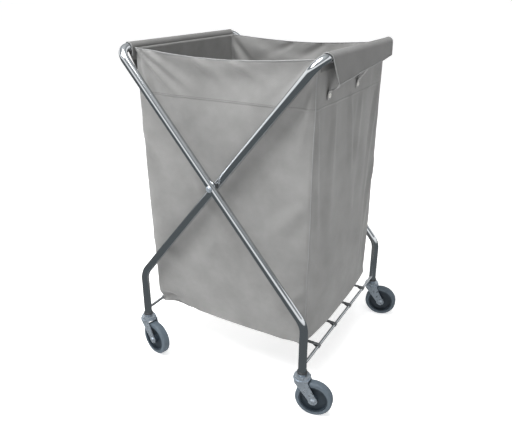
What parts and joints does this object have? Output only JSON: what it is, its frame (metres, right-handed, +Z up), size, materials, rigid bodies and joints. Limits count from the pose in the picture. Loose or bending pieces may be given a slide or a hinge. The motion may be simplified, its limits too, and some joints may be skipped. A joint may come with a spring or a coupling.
{
  "type": "linen trolley",
  "caption": "Folding linen trolley: two crossed chromed tube frames on four swivel castors, holding an open-topped square fabric bag by flaps over its rails.",
  "frame": {"origin": "on the floor, midway between the two top rails and between the front and back legs", "axes": "+Z up, +X from the outer frame's rail to the inner frame's rail, +Y to the back"},
  "size_m": [0.6349, 0.6136, 0.9135],
  "materials": {
    "frame_chrome": "polished chrome plate",
    "bag_fabric": "matt grey coated canvas",
    "webbing": "matt grey webbing",
    "press_stud": "nickel-plated press stud",
    "nylon": "moulded dark grey nylon",
    "tyre_rubber": "blue-grey non-marking rubber",
    "wheel_plastic": "dark blue-grey moulded plastic",
    "castor_zinc": "bright zinc plate",
    "steel_hardware": "plain plated steel"
  },
  "bodies": {
    "outer_frame": {"outer_frame_tube": "frame_chrome", "outer_bottom_rod": "frame_chrome", "front_pivot_bolt": "steel_hardware", "front_pivot_spacer": "nylon", "front_pivot_nut": "steel_hardware", "rear_pivot_bolt": "steel_hardware", "rear_pivot_spacer": "nylon", "rear_pivot_nut": "steel_hardware", "front_right_leg_bush": "nylon", "front_right_castor_stem": "castor_zinc", "front_right_race_cup": "castor_zinc", "rear_right_leg_bush": "nylon", "rear_right_castor_stem": "castor_zinc", "rear_right_race_cup": "castor_zinc"},
    "inner_frame": {"inner_frame_tube": "frame_chrome", "inner_bottom_rod": "frame_chrome", "front_left_leg_bush": "nylon", "front_left_castor_stem": "castor_zinc", "front_left_race_cup": "castor_zinc", "rear_left_leg_bush": "nylon", "rear_left_castor_stem": "castor_zinc", "rear_left_race_cup": "castor_zinc"},
    "bag": {"bag_left_side": "bag_fabric", "bag_front": "bag_fabric", "bag_rear": "bag_fabric", "bag_floor": "bag_fabric", "left_flap": "bag_fabric", "left_tabs": "webbing", "left_studs": "press_stud"},
    "bag_right": {"bag_right_side": "bag_fabric", "right_flap": "bag_fabric", "right_tabs": "webbing", "right_studs": "press_stud"},
    "base": {"base_straps": "webbing"},
    "front_right_castor": {"front_right_castor_fork": "castor_zinc", "front_right_race_balls": "steel_hardware", "front_right_axle_bolt": "steel_hardware", "front_right_axle_nut": "steel_hardware"},
    "front_right_roller": {"front_right_wheel": "wheel_plastic", "front_right_tyre": "tyre_rubber"},
    "rear_right_castor": {"rear_right_castor_fork": "castor_zinc", "rear_right_race_balls": "steel_hardware", "rear_right_axle_bolt": "steel_hardware", "rear_right_axle_nut": "steel_hardware"},
    "rear_right_roller": {"rear_right_wheel": "wheel_plastic", "rear_right_tyre": "tyre_rubber"},
    "front_left_castor": {"front_left_castor_fork": "castor_zinc", "front_left_race_balls": "steel_hardware", "front_left_axle_bolt": "steel_hardware", "front_left_axle_nut": "steel_hardware"},
    "front_left_roller": {"front_left_wheel": "wheel_plastic", "front_left_tyre": "tyre_rubber"},
    "rear_left_castor": {"rear_left_castor_fork": "castor_zinc", "rear_left_race_balls": "steel_hardware", "rear_left_axle_bolt": "steel_hardware", "rear_left_axle_nut": "steel_hardware"},
    "rear_left_roller": {"rear_left_wheel": "wheel_plastic", "rear_left_tyre": "tyre_rubber"}
  },
  "joints": [
    {"name": "frame_fold", "type": "hinge", "parent": "outer_frame", "child": "inner_frame", "pos_m": [0, 0, 0.5804], "axis": [0, -1, 0], "range_deg": [0, 36], "deforming": ["bag_front", "bag_rear", "bag_floor", "base_straps"]},
    {"name": "bag_swing", "type": "hinge", "parent": "outer_frame", "child": "bag", "pos_m": [-0.265, 0, 0.9], "axis": [0, -1, 0], "range_deg": [0, 18]},
    {"name": "bag_right_swing", "type": "hinge", "parent": "inner_frame", "child": "bag_right", "pos_m": [0.265, 0, 0.9], "axis": [0, -1, 0], "range_deg": [-18, 0]},
    {"name": "base_swing", "type": "hinge", "parent": "outer_frame", "child": "base", "pos_m": [0.264, 0, 0.139], "axis": [0, -1, 0], "range_deg": [0, 18]},
    {"name": "front_right_swivel", "type": "hinge", "parent": "outer_frame", "child": "front_right_castor", "pos_m": [0.264, -0.28, 0.11], "axis": [0, 0, 1], "continuous": true},
    {"name": "front_right_spin", "type": "hinge", "parent": "front_right_castor", "child": "front_right_roller", "pos_m": [0.29748, -0.2741, 0.05], "axis": [-0.1736, 0.9848, 0], "continuous": true},
    {"name": "rear_right_swivel", "type": "hinge", "parent": "outer_frame", "child": "rear_right_castor", "pos_m": [0.264, 0.28, 0.11], "axis": [0, 0, 1], "continuous": true},
    {"name": "rear_right_spin", "type": "hinge", "parent": "rear_right_castor", "child": "rear_right_roller", "pos_m": [0.29726, 0.28707, 0.05], "axis": [-0.2079, 0.9781, 0], "continuous": true},
    {"name": "front_left_swivel", "type": "hinge", "parent": "inner_frame", "child": "front_left_castor", "pos_m": [-0.264, -0.255, 0.11], "axis": [0, 0, 1], "continuous": true},
    {"name": "front_left_spin", "type": "hinge", "parent": "front_left_castor", "child": "front_left_roller", "pos_m": [-0.23101, -0.26322, 0.05], "axis": [0.2419, 0.9703, 0], "continuous": true},
    {"name": "rear_left_swivel", "type": "hinge", "parent": "inner_frame", "child": "rear_left_castor", "pos_m": [-0.264, 0.255, 0.11], "axis": [0, 0, 1], "continuous": true},
    {"name": "rear_left_spin", "type": "hinge", "parent": "rear_left_castor", "child": "rear_left_roller", "pos_m": [-0.23008, 0.25737, 0.05], "axis": [-0.0698, 0.9976, 0], "continuous": true}
  ],
  "couplings": [
    {"joint": "bag_swing", "follows": "frame_fold", "ratio": 0.5},
    {"joint": "bag_right_swing", "follows": "frame_fold", "ratio": -0.5},
    {"joint": "base_swing", "follows": "frame_fold", "ratio": 0.5}
  ]
}
